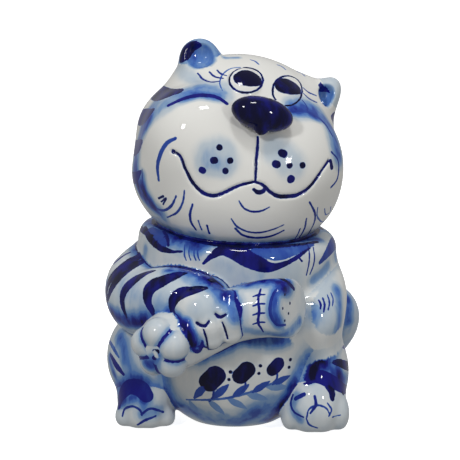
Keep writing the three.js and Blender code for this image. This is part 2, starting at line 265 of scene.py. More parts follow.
PARTS = {
    "torso_shell": Part(
        [
            ball([0, -0.16, 0.82], [0.92, 0.87, 0.9]),  # belly
            ball([0, 0.16, 1.32], [1, 0.82, 0.84]),  # chest and back
            ball([0, 0.37, 0.72], [1, 0.68, 0.84]),  # seat
        ],
        blend=8,
        join=1,
        hollow=ball([0, 0.1, 0], [0.047, 0.047, 0.16]),  # the vent in the base
    ),
    "haunch_left": Part([ball([0.79, -0.21, 0.53], [0.38, 0.55, 0.53])], blend=1, join=5),
    "haunch_right": Part([ball([-0.88, -0.16, 0.67], [0.43, 0.53, 0.5])], blend=1, join=5),
    "foot_left": foot(0.81, -0.48, 0.27, [0.32, 0.4, 0.37], 0.12, 0.19),
    "foot_right": foot(-0.91, -0.32, 0.28, [0.29, 0.37, 0.37], 0.105, 0.12),
    "tail": Part(
        [
            Limb(
                BODY,
                [
                    (0.13, 0.97, 0.29, 0.21),
                    (0.68, 0.95, 0.39, 0.24),
                    (0.98, 0.68, 0.71, 0.23),
                    (1.06, 0.42, 1.0, 0.25),
                    (0.95, 0.38, 1.24, 0.19),
                    (0.86, 0.37, 1.62, 0.13),
                ],
            )
        ],
        blend=1,
        join=3,
    ),
    "arm_left": Part(
        [
            Limb(
                BODY,
                [
                    (0.72, 0.1, 1.63, 0.24),
                    (0.82, -0.18, 1.37, 0.3),
                    (0.83, -0.42, 1.2, 0.28),
                    (0.81, -0.57, 1.13, 0.24),
                ],
            )
        ],
        blend=1,
        join=12,
    ),
    "neckerchief": Part(
        [Band(BODY, [0.02, 0, 1.72], [1.02, 0.95], half_height=0.28, bulge=1.5, edge=0.16, turn=[5, 4, 0])],
        blend=1,
        join=2.5,
    ),
    "arm_right": Part(
        [
            Limb(
                BODY,
                [
                    (-0.86, 0.2, 1.6, 0.26),
                    (-0.98, -0.16, 1.43, 0.33),
                    (-0.9, -0.55, 1.3, 0.35),
                    (-0.6, -0.86, 1.37, 0.33),
                    (-0.3, -0.99, 1.36, 0.28),
                ],
            )
        ],
        blend=1,
        join=2,
    ),
    "sausage": Part(
        [Limb(BODY, SAUSAGE_STATIONS, cut_at=[0.58, -1.13, 1.33], cut_facing=[0.88, -0.47, 0.05])],
        blend=1,
        join=1.2,
    ),
    "sausage_tied_end": tied_end(),
    "paw_right": paw(),
    "head_shell": Part(
        [
            head_ball([0.06, -0.06, -0.25], [1.02, 0.87, 0.75], [0, -6, 0]),  # jowls
            head_ball([0.05, -0.42, -0.54], [0.62, 0.42, 0.39], [0, -8, 0]),  # chin
            head_ball([0.08, 0.1, 0.24], [0.87, 0.75, 0.7]),  # skull
            head_ball([-0.5, 0.05, 0.08], [0.45, 0.6, 0.4]),  # back of the right cheek
            head_ball([-0.4, -0.4, 0], [0.55, 0.45, 0.5]),  # right muzzle pad
            head_ball([0.4, -0.4, 0], [0.55, 0.45, 0.5]),  # left muzzle pad
            head_ball([-0.53, 0, 0.62], [0.16, 0.2, 0.22]),  # root of the right ear
            head_ball([0.62, 0, 0.58], [0.2, 0.2, 0.22]),  # root of the left ear
        ],
        blend=8,
        join=1.2,
    ),
    "ear_right": Part(
        [head_ball([-0.54, -0.05, 0.79], [0.19, 0.15, 0.18], [0, -20, 0])],
        blend=1,
        join=3.5,
        hollow=head_ball([-0.565, -0.19, 0.8], [0.14, 0.1, 0.125], [-15, -20, 0]),
    ),
    "ear_left": Part(
        [head_ball([0.76, -0.02, 0.68], [0.14, 0.17, 0.22], [0, 22, 0])],
        blend=1,
        join=4,
        hollow=head_ball([0.72, -0.19, 0.68], [0.08, 0.1, 0.13], [-10, 22, 0]),
    ),
    "eye_right": Part([head_ball([-0.14, -0.48, 0.62], [0.17, 0.06, 0.18], [-40, 0, -7])], blend=1, join=0.6),
    "eye_left": Part([head_ball([0.27, -0.46, 0.61], [0.17, 0.06, 0.18], [-42, 0, 12])], blend=1, join=0.6),
    "nose": Part(
        [
            head_ball([-0.01, -0.88, 0.345], [0.3, 0.16, 0.16], [0, 1, 0]),
            head_ball([0, -0.92, 0.205], [0.065, 0.06, 0.06]),
        ],
        blend=1,
        join=1.2,
    ),
}
NAMES = list(PARTS)


def figure(points):
    """The distance to the whole figure's skin, and to each part's own."""
    each = np.array([part.distance(points) for part in PARTS.values()])
    whole = np.full(len(points), FAR)
    for part, distance in zip(PARTS.values(), each):
        whole = blended(whole, distance, part.join)
    for part in PARTS.values():
        if part.hollow:
            low, high = part.hollow.reach()
            near = np.all((points > low - 3) & (points < high + 3), axis=1)
            whole[near] = blended_out(whole[near], -part.hollow.distance(points[near]), 1.5)
    return blended_out(whole, -points[:, 2], 1.5), each


# ---------------------------------------------------------------- from field to mesh

VOXEL = 1.0
MARGIN = 4.0


def field_surface():
    """The figure's skin as vertices and triangles."""
    corners = np.array([lump.reach() for part in PARTS.values() for lump in part.lumps])
    low = corners[:, 0].min(0) - MARGIN
    high = corners[:, 1].max(0) + MARGIN
    low[2] = -MARGIN
    counts = np.ceil((high - low) / VOXEL).astype(int)
    values = np.empty(counts, np.float32)
    for slab in range(counts[0]):
        x = np.full((1, 1, 1), low[0] + slab * VOXEL)
        y = low[1] + VOXEL * np.arange(counts[1])[None, :, None]
        z = low[2] + VOXEL * np.arange(counts[2])[None, None, :]
        points = np.stack(np.broadcast_arrays(x, y, z), axis=-1).reshape(-1, 3)
        values[slab] = figure(points)[0].reshape(counts[1:])
    grid = openvdb.FloatGrid(float(FAR))
    grid.copyFromArray(values)
    points, quads = grid.convertToQuads(0.0)
    vertices = low + VOXEL * points.astype(float)
    quads = quads.astype(int)
    first = np.linalg.norm(vertices[quads[:, 0]] - vertices[quads[:, 2]], axis=1)
    second = np.linalg.norm(vertices[quads[:, 1]] - vertices[quads[:, 3]], axis=1)
    straight = first <= second
    triangles = np.concatenate(
        [
            quads[straight][:, [0, 1, 2]],
            quads[straight][:, [0, 2, 3]],
            quads[~straight][:, [0, 1, 3]],
            quads[~straight][:, [1, 2, 3]],
        ]
    )
    return vertices, triangles


def on_skin(points, rounds=2):
    """The points moved onto the figure's skin."""
    step = 0.05
    for _ in range(rounds):
        here = figure(points)[0]
        slope = np.stack([(figure(points + step * axis)[0] - here) / step for axis in np.eye(3)], axis=1)
        steepness = np.maximum((slope**2).sum(axis=1), 0.2)
        points = points - (here / steepness)[:, None] * slope
    return points


def refined(vertices, triangles, wanted, rounds=4):
    """Halves every edge that is longer than wanted at its middle, until none is or the rounds are over."""
    for _ in range(rounds):
        sides = np.stack([triangles, np.roll(triangles, -1, axis=1)], axis=2).reshape(-1, 2)
        edges, edge_of_side = np.unique(np.sort(sides, axis=1), axis=0, return_inverse=True)
        edge_of_side = edge_of_side.reshape(-1, 3)
        middles = vertices[edges].mean(axis=1)
        lengths = np.linalg.norm(vertices[edges[:, 0]] - vertices[edges[:, 1]], axis=1)
        split = lengths > wanted(middles)
        if not split.any():
            break
        new_vertex = np.full(len(edges), -1)
        new_vertex[split] = len(vertices) + np.arange(split.sum())
        vertices = np.concatenate([vertices, on_skin(middles[split], rounds=1)])
        middle_of_side = new_vertex[edge_of_side]
        triangles = split_triangles(triangles, middle_of_side)
    return vertices, triangles


def split_triangles(triangles, middles):
    """Splits each triangle at the middles of its sides; a middle of -1 leaves that side whole."""
    count = (middles >= 0).sum(axis=1)
    kept = [triangles[count == 0]]
    for turn in range(3):
        corners = np.roll(triangles, -turn, axis=1)
        sides = np.roll(middles, -turn, axis=1)
        one = (count == 1) & (sides[:, 0] >= 0)
        a, b, c = corners[one].T
        m = sides[one, 0]
        kept += [np.stack([a, m, c], axis=1), np.stack([m, b, c], axis=1)]
        two = (count == 2) & (sides[:, 2] < 0)
        a, b, c = corners[two].T
        m, n = sides[two, 0], sides[two, 1]
        kept += [np.stack([m, b, n], axis=1), np.stack([a, m, n], axis=1), np.stack([a, n, c], axis=1)]
    three = count == 3
    a, b, c = triangles[three].T
    m, n, o = middles[three].T
    kept += [np.stack(rows, axis=1) for rows in ((a, m, o), (m, b, n), (o, n, c), (m, n, o))]
    return np.concatenate(kept)


def cut_along_seams(vertices, triangles):
    """Splits the edges that run from one part's skin to another's where they cross the seam."""
    each = figure(vertices)[1]
    owner = each.argmin(axis=0)
    sides = np.stack([triangles, np.roll(triangles, -1, axis=1)], axis=2).reshape(-1, 2)
    edges, edge_of_side = np.unique(np.sort(sides, axis=1), axis=0, return_inverse=True)
    a, b = edges[owner[edges[:, 0]] != owner[edges[:, 1]]].T
    lead_at_a = each[owner[b], a] - each[owner[a], a]
    lead_at_b = each[owner[a], b] - each[owner[b], b]
    share = np.clip(lead_at_a / np.maximum(lead_at_a + lead_at_b, 1e-9), 0.08, 0.92)[:, None]
    new_vertex = np.full(len(edges), -1)
    new_vertex[owner[edges[:, 0]] != owner[edges[:, 1]]] = len(vertices) + np.arange(len(a))
    vertices = np.concatenate([vertices, (1 - share) * vertices[a] + share * vertices[b]])
    return vertices, split_triangles(triangles, new_vertex[edge_of_side.reshape(-1, 3)])


def vertex_normals(vertices, triangles):
    """Each vertex's outward direction, from the faces round it weighted by their areas."""
    a, b, c = (vertices[triangles[:, k]] for k in range(3))
    across = np.cross(b - a, c - a)
    normals = np.zeros_like(vertices)
    for k in range(3):
        np.add.at(normals, triangles[:, k], across)
    return normals / np.maximum(np.linalg.norm(normals, axis=1, keepdims=True), 1e-12)


# ---------------------------------------------------------------- the painter's view

VIEW_DISTANCE = 900 * SCALE
VIEW_ELEVATION = math.radians(8)
VIEW_WIDTH = 179.4 * SCALE  # what the picture's width shows, at the figure's middle
FOCUS = SCALE * np.array([-1.8, 0, 74.3])
VIEW_BACK = np.array([0, -math.cos(VIEW_ELEVATION), math.sin(VIEW_ELEVATION)])
VIEW_UP = np.array([0, math.sin(VIEW_ELEVATION), math.cos(VIEW_ELEVATION)])
EYE = FOCUS + VIEW_DISTANCE * VIEW_BACK


# ---------------------------------------------------------------- brushwork


def cast(across, up, turn=0):
    """The skin points at places in the painter's view, with the figure turned by some degrees."""
    spin = turn_matrix([0, 0, turn])
    target = FOCUS + across[:, None] * np.array([1, 0, 0]) + (up - FOCUS @ VIEW_UP)[:, None] * VIEW_UP
    heading = target - EYE
    heading /= np.linalg.norm(heading, axis=1, keepdims=True)
    eye, heading = spin @ EYE, heading @ spin.T
    travelled = np.full(len(target), VIEW_DISTANCE - 1.6 * BODY)
    best = np.full(len(target), np.inf)
    place = eye + travelled[:, None] * heading
    for _ in range(50):
        here = eye + travelled[:, None] * heading
        gap = figure(here)[0]
        closer = gap < best
        best[closer] = gap[closer]
        place[closer] = here[closer]
        travelled += np.clip(0.8 * gap, 0, 8)
    return on_skin(place)


class Stroke:
    """A smooth brush stroke through stations of (across, up, half width) in the painter's view."""

    def __init__(self, kind, stations, depth=1.0, groove=0.0, turn=0):
        stations = SCALE * np.array(stations, float)
        if len(stations) == 1:
            stations = np.concatenate([stations, stations + [0.01, 0, 0]])
        self.line = smooth_line(stations, 1 if len(stations) == 2 else 5)
        self.kind, self.depth, self.groove, self.turn = kind, depth, groove, turn


def line(*places, half=0.4, depth=0.95, groove=0.0, turn=0):
    """A thin line that swells a little in its middle."""
    stations = []
    for index, (across, up) in enumerate(places):
        swell = math.sin(math.pi * (index + 0.35) / (len(places) - 0.3))
        stations.append((across, up, half * (0.7 + 0.5 * swell)))
    return Stroke("fine", stations, depth, groove, turn)


def dab(*stations, depth=0.95, turn=0):
    """A full stroke with a crisp edge."""
    return Stroke("fill", stations, depth, turn=turn)


def wash_and_shade(*stations, depth=0.5, turn=0):
    """A wash that fades out towards its half width: thinned cobalt, and painted shade where it is laid in
    creases and under things.
    """
    return Stroke("wash_and_shade", stations, depth, turn=turn)


def dots(radius, *places):
    """Round dots of one size."""
    return [dab((across, up, radius), depth=1.02) for across, up in places]


def ring(across, up, half_across, half_up):
    """A thin closed line round an oval."""
    half_width = 0.42
    oval = []
    for step in range(13):
        angle = math.radians(30 * step)
        oval.append((across + half_across * math.cos(angle), up + half_up * math.sin(angle), half_width))
    return Stroke("fine", oval, 0.97)


def leaf(across, up, heading, length, depth):
    """A leaf that grows from a place along a heading in degrees, widest before its middle."""
    east, north = math.cos(math.radians(heading)), math.sin(math.radians(heading))
    stations = []
    for share, half in ((0, 0.05), (0.35, 0.19), (0.7, 0.15), (1, 0.03)):
        stations.append((across + share * length * east, up + share * length * north, half * length))
    return dab(*stations, depth=depth)


def berry(across, up, radius):
    """An oval berry that leans a little, on a bent stalk."""
    foot_of_stalk = (across - 1, up - 1.9 * radius)
    bend = (across + 0.6, up - 1.3 * radius)
    stalk = line(foot_of_stalk, bend, (across, up), half=0.4, depth=0.75)
    lean = 0.3 * radius
    low_end = (across - lean, up - lean, 0.85 * radius)
    high_end = (across + lean, up + lean, 0.85 * radius)
    return [stalk, dab(low_end, high_end, depth=0.98)]


def sprig():
    """A sagging stem with leaves on both sides, and three berries with dots beside them."""
    stem = [(-17 + 7.6 * step, 7.4 + 1.7 * step - 3 * math.sin(math.pi * step / 5)) for step in range(6)]
    strokes = [line(*stem, half=0.5, depth=0.6)]
    for step, (across, up) in enumerate(stem[:-1]):
        strokes.append(leaf(across + 1, up - 0.2, 14 * step - 56, 8.4, depth=0.42))
        strokes.append(leaf(across + 3, up + 0.6, 48 - 5 * step, 8, depth=0.68))
    for step, radius in enumerate((4.6, 3.9, 3.2)):
        across, up = -7 + 12.4 * step, 15.4 + 2.4 * step
        strokes += berry(across, up, radius)
        strokes += dots(0.7, (across + radius + 2, up - 0.2), (across + radius + 2.6, up + 2.8))
    return strokes


# The brush work, under the names of the parts that it lies on.
PAINT = {
    "head_shell": [
        # muzzle line, lips that curl up into the cheeks, tip of the tongue
        line((11, 111), (10.8, 106), (10.3, 100), (10, 92.8), half=0.5, groove=0.5),
        line(
            (-22.6, 104.3), (-19.6, 102.4), (-17.4, 97), (-14.4, 91.6), (-10.6, 88), (-6.5, 86.9),
            (-2.5, 88), (1.5, 90), (5.2, 91.4), (9.8, 92.4), half=0.6, groove=0.6,
        ),
        line(
            (9.8, 92.4), (13, 91), (16, 88.2), (19, 86.7), (23, 86.6), (27, 87.4), (31, 90),
            (34.5, 94.5), (38.6, 100.6), half=0.65, groove=0.6,
        ),
        dab((-22.2, 104.2, 0.9)),
        dab((39.3, 100.4, 0.8), (39.7, 98, 1)),
        line((9.3, 89.3), (11, 88.3), (13, 88.8), (13.9, 90.2), half=0.75),
        dab((9.5, 89.3, 0.6)),
        # dimples
        line((-21.3, 109.3), (-24.6, 107.5), (-27, 103.5), (-28.3, 98.5), (-27.8, 93), half=0.75, depth=0.7),
        line((39.6, 104), (42, 101), (42.4, 97), (41.6, 93), (39.4, 90.2), half=0.5, depth=0.75),
        # whisker dots
        *dots(1.25, (-4.1, 105.8), (0.1, 100.6), (-1.8, 96.6), (23.2, 98.7), (28.3, 98.8)),
        dab((-6.4, 100.7, 1.4), (-6, 100.7, 1.4)),
        dab((-11, 97, 1.3), (-10.6, 96.8, 1.3)),
        dab((20.3, 103.6, 1.6), (20.9, 103.3, 1.6)),
        dab((17.8, 99.3, 1.5), (18.3, 99.2, 1.5)),
        dab((23.6, 93.3, 1.5), (23.9, 93.5, 1.5)),
        # fur under the mouth
        line((3.5, 85), (5.5, 82), (9, 80.7), (12.5, 81.1), (15.3, 82.5), half=0.35, depth=0.8),
        line((0.5, 78), (2.7, 75), (7, 72.9), (12, 72.6), (17, 73.9), (21, 75.6), half=0.35, depth=0.8),
        line((2, 74.2), (5, 71.6), (10, 70.5), (16, 71.2), (21, 73.4), half=0.5, depth=0.8),
        # fur along the lower left and right of the jaw
        line((-17.8, 89), (-18.4, 84.5), (-20.6, 80.5), (-24.5, 78.5), half=0.4, depth=0.75),
        line((-14.6, 83.5), (-15.6, 79.5), (-15, 76.2), (-13.2, 73.6), half=0.45, depth=0.8),
        line((-12.4, 77.3), (-11, 73.6), half=0.35, depth=0.7),
        line((-9, 75.4), (-8, 72.2), half=0.4, depth=0.8),
        line((-27.8, 85.9), (-26, 86.8), half=0.45),
        line((-26.9, 84.6), (-24.9, 85.9), (-26.1, 83.5), half=0.35),
        line((31, 84.5), (33, 80.5), (33, 77), (31, 72.8), (29, 70), half=0.45, depth=0.8),
        line((29.8, 78), (29, 74), (26.5, 69.8), half=0.45, depth=0.8),
        line((27.3, 74), (25.3, 69.7), half=0.4, depth=0.8),
        line((34.2, 82.3), (34, 79), (35.8, 76.8), (38.3, 77.5), half=0.3, depth=0.65),
        line((36.9, 82), (37.3, 79.6), (39, 80.6), (39.3, 82.6), half=0.3, depth=0.65),
        # lashes and lids
        line((-12.6, 134.7), (-10.5, 132.4), (-7.5, 131.3), (-4, 131.6), half=0.4, depth=0.85),
        line((-8, 135.2), (-6, 133.4), (-2.8, 132.7), half=0.38, depth=0.85),
        line((-5, 135.9), (-3.4, 134.4), (-1.4, 133.8), half=0.35, depth=0.85),
        line((4, 137), (0.2, 136.5), (-2.9, 134.2), (-4, 130.8), (-2.9, 127.9), half=0.3, depth=0.6),
        line((28.6, 129), (30.6, 127.3), (33.6, 126), half=0.35, depth=0.75),
        line((28.7, 126.8), (31, 124.7), (33.9, 123.3), half=0.35, depth=0.75),
        line((28.2, 124.2), (29.6, 122.4), (30.4, 120.4), half=0.35, depth=0.75),
        # creases over the cheeks
        line(
            (-24, 122.2), (-18, 124.9), (-13, 126), (-8, 126), (-4.5, 125.1), (-1.2, 122.9),
            half=1, depth=0.88,
        ),
        line((24.2, 119.7), (28.5, 120), (33, 118.4), (37, 115), (40, 110.2), half=0.7, depth=0.75),
        # a few short hairs on the forehead
        *[line((across, up), (across + 1.7, up - 0.6), (across + 3.2, up - 1.8), half=0.38, depth=0.6)
          for across, up in ((8, 140), (18.4, 138), (26, 135.4))],
        line((32, 133.4), (36, 132.7), half=0.6, depth=0.8),
        # whisker pads
        wash_and_shade((-8, 103.5, 7), (-4, 104.5, 7.5), (-2, 100.5, 7), depth=0.22),
        wash_and_shade((-9, 98.5, 5), (-3.5, 97.8, 5.5), depth=0.22),
        wash_and_shade((18, 105, 7), (20, 103.5, 8), (24, 99.5, 7), depth=0.22),
        # blue washes over the cheeks, and painted shade round the head's edge and under the jaw
        wash_and_shade((-33, 117, 5), (-27, 121.5, 6), (-20, 126, 6.5), (-12, 128, 6), (-4, 127, 5), depth=0.46),
        wash_and_shade((-18, 124.8, 3), (-12, 126.3, 3.4), (-5, 125.6, 2.6), depth=0.5),
        wash_and_shade((26, 121, 4), (31, 121, 6.5), (36, 118, 7), (40, 112, 6), (42.5, 103, 4), depth=0.6),
        wash_and_shade((24, 119.8, 2), (29, 119.8, 3.2), (34, 117.5, 3), depth=0.6),
        wash_and_shade(
            (-32, 116, 5), (-35.5, 108, 5), (-37, 98, 5), (-35.5, 90, 5), (-31.5, 84, 4), (-27, 80, 3),
            depth=0.7,
        ),
        wash_and_shade((-33.8, 95, 3), (-33.4, 88, 3), (-30, 83, 2.5), depth=0.5),
        # painted shade under the jaw, where the head overhangs the neckerchief
        wash_and_shade((-30, 79, 4), (-22, 74, 4.5), (-10, 71, 4), depth=0.22),
        line(
            (-34.3, 97), (-33.8, 89.5), (-31, 84), (-26.6, 81.2), (-22.9, 83), (-21, 86.8),
            half=0.5, depth=0.75,
        ),
        wash_and_shade((-20, 137, 2), (-12, 131, 5), (-3, 130, 4), depth=0.16),
        wash_and_shade((-2, 140.8, 2), (3, 140.8, 2), depth=0.35),
        # tabby stripes that come round the head from behind
        dab((10, 127, 2.4), (4, 125.4, 3.8), (-6, 125, 3.8), (-20, 126, 3), (-28, 127, 1), turn=-60),
        dab((5, 118.4, 1.4), (0, 116.2, 3.2), (-12, 115, 3.4), (-28, 115, 1), depth=0.9, turn=-60),
        dab((2.6, 105.8, 1), (-3, 103.6, 2.8), (-14, 102, 3), (-30, 102, 0.8), depth=0.88, turn=-60),
        dab((2, 93.8, 0.8), (-4, 91, 2.3), (-15, 90, 2.4), (-28, 89.6, 0.8), depth=0.85, turn=-60),
        wash_and_shade((0, 122, 7), (-3, 108, 7), (-4, 95, 6), (2, 84, 4), depth=0.45, turn=-60),
        *[dab((16, height, 0.9), (21, height - 1, 3), (28, height - 2, 2.6), (34, height - 2, 0.8),
              depth=0.88, turn=70) for height in (127, 114, 101, 89)],
        *[dab((-14, height, 0.8), (-6, height + 3, 2.4), (1, height + 4, 3), (8, height + 3, 2.4),
              (16, height, 0.8), depth=0.9, turn=180) for height in (130, 119, 108, 97)],
        wash_and_shade((0, 135, 10), (0, 110, 14), (0, 90, 12), depth=0.25, turn=180),
    ],
    "eye_right head_shell": [
        ring(6.3, 132, 6.6, 4.9),
        dab((4.6, 132.9, 3.3), (7.1, 133.1, 4.3), (9.6, 132.5, 3.3), depth=0.99),
    ],
    "eye_left head_shell": [
        ring(22.4, 127.9, 5.8, 5.8),
        dab((20.6, 129.5, 3.3), (22.9, 129.8, 4.3), (25.2, 129.2, 3.3), depth=0.99),
    ],
    "ear_right": [
        dab((-19, 140.2, 1.8), (-17.4, 142.8, 2.9), (-15, 145, 2.5), (-12.4, 145.6, 1.4)),
    ],
    "neckerchief": [
        dab(
            (-19, 70.6, 1), (-10, 68.8, 1.4), (0, 67.7, 1.9), (12, 67.2, 1.9), (25, 67.6, 1.5), (34, 69, 0.8),
        ),
        dab(
            (-10.4, 60.5, 0.5), (-7.2, 63.4, 1.2), (-3, 65.8, 2.2), (2, 65, 3.2), (7, 62.4, 3.4),
            (12, 60, 2.8), (16, 59, 1.8), (21, 60.2, 1.1), (26, 62.8, 0.8), (31, 66.6, 0.5), depth=0.92,
        ),
        dab((10, 65.6, 1.8), (18, 64.5, 2.9), (25, 66, 2.2), (32, 68, 1), depth=0.62),
        dab((-33.4, 74.6, 1), (-31, 70.4, 1.7), (-27, 66.6, 1.4), (-22.5, 65.2, 0.7), (-18.6, 65.2, 0.4)),
        dab((-31, 74, 1.5), (-28, 71.5, 2.6), (-25.6, 68.6, 1.8), depth=0.68),
        dab((-26, 73, 0.9), (-24.6, 70, 1), (-24, 67.6, 0.6), depth=0.9),
        wash_and_shade((-26, 72, 5), (-19, 69, 5.5), (-12, 67, 4.5), depth=0.7),
        # painted shade under the chin, over the neckerchief's own blue
        wash_and_shade((-33, 77, 4), (-20, 72, 4), (-5, 69.5, 4), (12, 68.5, 4), (34, 70, 4), depth=0.6),
        wash_and_shade((-2, 60, 7), (14, 54, 6), (24, 57, 6), depth=0.16),
        wash_and_shade((40, 72, 5), (41, 64, 5), depth=0.4),
        *[dab((-17, 68, 0.6), (-10, 64.6, 2.4), (-2, 62, 2.8), (6, 63.6, 1.8), (15, 67.4, 0.6), turn=turn)
          for turn in (-120, 180, 125)],
        *[line((-20, 69.4), (0, 69.6), (20, 69), half=0.9, turn=turn) for turn in (-90, -135, 180, 135, 90)],
        *[line((across, 67), (across + 0.6, 63), (across, 60.4), half=0.35, depth=0.7, turn=turn)
          for across in (20.4, 22.4) for turn in (-120, 180, 125)],
        *[line((across, 68), (across - 0.2, 64), (across + 0.5, 61.8), half=0.3, depth=0.7)
          for across in (-17.6, -15.8, -13.8, -12.4)],
        line((30.3, 68), (31, 64), (30.7, 60), (29.8, 56), half=0.35, depth=0.8),
        line((32.4, 67), (33, 63), (32.4, 59.4), (31.2, 56.4), half=0.35, depth=0.8),
        line((28.1, 61.4), (27.2, 62.4), half=0.4),
        dab((41, 69, 2.4), (38.4, 65, 2), (35, 60.8, 0.8), depth=0.75),
        wash_and_shade((-33, 66, 3), (-33.5, 62.5, 3), depth=0.35),
        wash_and_shade((38, 60, 3), (36, 57, 3), (32, 54, 2.5), depth=0.35),
    ],
    "arm_right": [
        dab((-38.9, 64.9, 0.5), (-42, 63.3, 1.1), (-45, 60.8, 0.9), depth=0.85),
        dab((-34.3, 61.4, 1.4), (-39, 59, 2.6), (-43.2, 55.4, 3), (-46.2, 51, 2.4), (-47.8, 46, 1)),
        dab(
            (-29.8, 57.6, 0.9), (-33, 56.6, 2), (-37.4, 54, 2.7), (-40.8, 50.6, 2.5), (-42, 46.8, 1.7),
            (-41.6, 43, 1.2), (-40.2, 39.4, 0.5), depth=0.93,
        ),
        dab(
            (-17.4, 56.8, 0.9), (-21, 56, 2.2), (-26, 54, 2.8), (-30.6, 51.6, 3.2), (-32.2, 48.4, 2.4),
            (-31.8, 44.8, 1.7), (-30.6, 42.4, 1.4), (-29.6, 39.6, 0.6),
        ),
        dab((-20, 56, 0.8), (-16, 49, 3), (-20, 43, 2.4), turn=-70),
        dab((-2, 62, 0.8), (3, 55, 3), (1, 46, 2.6), (4, 40, 0.8), turn=-70),
        line((-33, 62), (-28, 61.4), (-20, 60.5), (-14, 58.9), (-8, 55.6), (-3, 51.6), half=0.8),
        wash_and_shade((-34, 62.5, 2.5), (-20, 60, 4), (-12, 57, 4.5), (-4, 52, 4), depth=0.62),
        # painted shade along the arm's underside, over the tied end and the sausage
        wash_and_shade((-48, 42, 5), (-42, 38.5, 5.5), (-35, 38, 5), (-27, 39, 5), (-20, 36, 4), depth=0.9),
        wash_and_shade((-49, 52, 4), (-49, 45, 4.5), (-46, 39, 4), depth=0.6),
        wash_and_shade((-25, 44, 9), (-36, 45, 9), (-42, 52, 7), depth=0.16),
    ],
    "arm_right paw_right": [
        dab(
            (-9.6, 51, 1.2), (-13, 50.6, 2.4), (-17.6, 49.2, 2.9), (-21, 47.2, 2.6), (-22.4, 44, 1.7),
            (-22.2, 40.4, 0.9),
        ),
        wash_and_shade((-20, 60, 6), (-10, 53, 7), (-2, 48, 6), depth=0.4),
        wash_and_shade((-24, 58, 4), (-14, 57, 4.5), (-5, 52.5, 4.5), depth=0.5),
        # painted shade where the arm's underside meets the fingers
        wash_and_shade((-24, 41, 3), (-19, 37, 4), (-15, 31, 4), depth=0.6),
    ],
    "paw_right": [
        line((-13, 37.4), (-11.4, 36.3), (-9.8, 36.2), (-8.2, 38), half=0.55, groove=0.4),
        line((-10.5, 34.6), (-9.5, 31.6), (-8.7, 27.4), half=0.45, groove=0.4),
        line((-5.6, 40.8), (-4, 39.6), (-1.9, 40.6), half=0.6, groove=0.4),
        line((-3.2, 37.4), (-2.1, 34.8), (-1, 31), half=0.45, groove=0.4),
        # painted shade on the side of the paw between arm and finger
        wash_and_shade((-17.5, 37, 3.2), (-15.6, 32, 3.4), (-14, 28.6, 2.6), depth=0.8),
        wash_and_shade((-4, 50, 5), (0, 46, 4.5), (2.5, 40, 4), depth=0.6),
        wash_and_shade((-12, 42, 6), (-6, 43, 6), depth=0.14),
    ],
    "sausage": [
        line((-0.5, 51.8), (6, 53.9), (12, 54.6), (18, 55), (22, 53.6), (25, 50.6), half=0.9),
        wash_and_shade((0, 51.5, 5.5), (8, 53, 5.5), (17, 53.6, 5.5), (23, 51.5, 4.5), depth=0.85),
        dab((1.6, 47.4, 0.9), (3, 43.4, 1.7), (3.3, 39.4, 1.3), (2.6, 37.6, 0.5), depth=0.88),
        wash_and_shade((-1, 49, 5), (1.5, 44, 5), (2.5, 38, 4), depth=0.62),
        # a stitched seam in its skin
        line((12, 50.6), (11, 46.5), (11.4, 42), (11, 37.5), (13, 33.8), half=0.45, depth=0.85),
        *[line((9, up), (11.2, up + 0.7), (13.6, up + 0.8), half=0.35, depth=0.8)
          for up in (47.6, 44, 40.4, 36.8)],
        # the sliced face: a rim, a paler ring inside it and a few flecks
        line((22, 53), (17.8, 50), (15.8, 45), (16, 40), (18.4, 36.6), (21.6, 36.6), half=0.6, depth=0.75),
        line((21, 50), (17.8, 47), (17.2, 42.5), (18.6, 38.8), half=0.35, depth=0.6),
        wash_and_shade((20, 51, 4), (17.4, 47, 4), (17.2, 41, 3.6), (19.4, 37, 3), depth=0.6),
        *dots(0.6, (21.4, 48.4), (23.4, 45), (20.6, 43), (22.8, 41), (21.4, 38.2)),
        # painted shade along the sausage's underside
        wash_and_shade((6, 34.4, 2.5), (14, 33.2, 2.5), (22, 33, 3), (27, 38, 3), depth=0.45),
    ],
    "sausage_tied_end": [
        dab((-29.6, 26.4, 0.7), (-28.2, 26.2, 0.9)),
        dab((-29.6, 23.6, 1), (-28.6, 24.6, 0.9)),
        wash_and_shade((-31.5, 21.5, 4), (-28.5, 24, 4), depth=0.6),
        wash_and_shade((-33, 22, 4), (-29, 20, 4), depth=0.35),
    ],
    "torso_shell": [
        *sprig(),
        # painted shade round the belly: shadows under the tied end and the sausage, shade in the creases at
        # the haunches, and darker towards the bottom
        wash_and_shade((-34, 24, 5), (-33, 14, 6), (-28, 5, 7), (-20, -1, 6), depth=0.62),
        wash_and_shade((-24, 8, 7), (-12, 1, 8), (4, -1, 9), (14, 5, 7), depth=0.5),
        wash_and_shade((36, 27, 5), (31, 17, 6.5), (24, 7, 7), (16, 0, 5), depth=0.7),
        wash_and_shade((-22, 21, 3), (-12, 26, 3.2), (-2, 29.5, 3.2), (7, 33, 3.4), depth=0.7),
        wash_and_shade((7, 31.5, 4), (16, 29.6, 4.5), (25, 33, 4), (30, 42, 4.5), depth=0.62),
        # tabby stripes down the back and round the flank
        *[dab((-16, height - 3, 0.9), (-8, height, 2.6), (1, height + 1, 3.2), (10, height, 2.6),
              (18, height - 3, 0.9), depth=0.92, turn=180) for height in (52, 41, 30)],
        *[dab((side * 34, height - 4, 0.8), (side * 28, height - 1, 2.4), (side * 22, height, 1.2),
              depth=0.88, turn=180) for side in (-1, 1) for height in (57, 46, 35)],
        wash_and_shade((-30, 60, 9), (-30, 30, 12), (-26, 8, 9), depth=0.35, turn=180),
        wash_and_shade((30, 60, 9), (30, 30, 12), (26, 8, 9), depth=0.35, turn=180),
    ],
    "arm_left": [
        line((34.6, 46.2), (35.4, 44.6), (35.2, 42.8), half=0.4, depth=0.85),
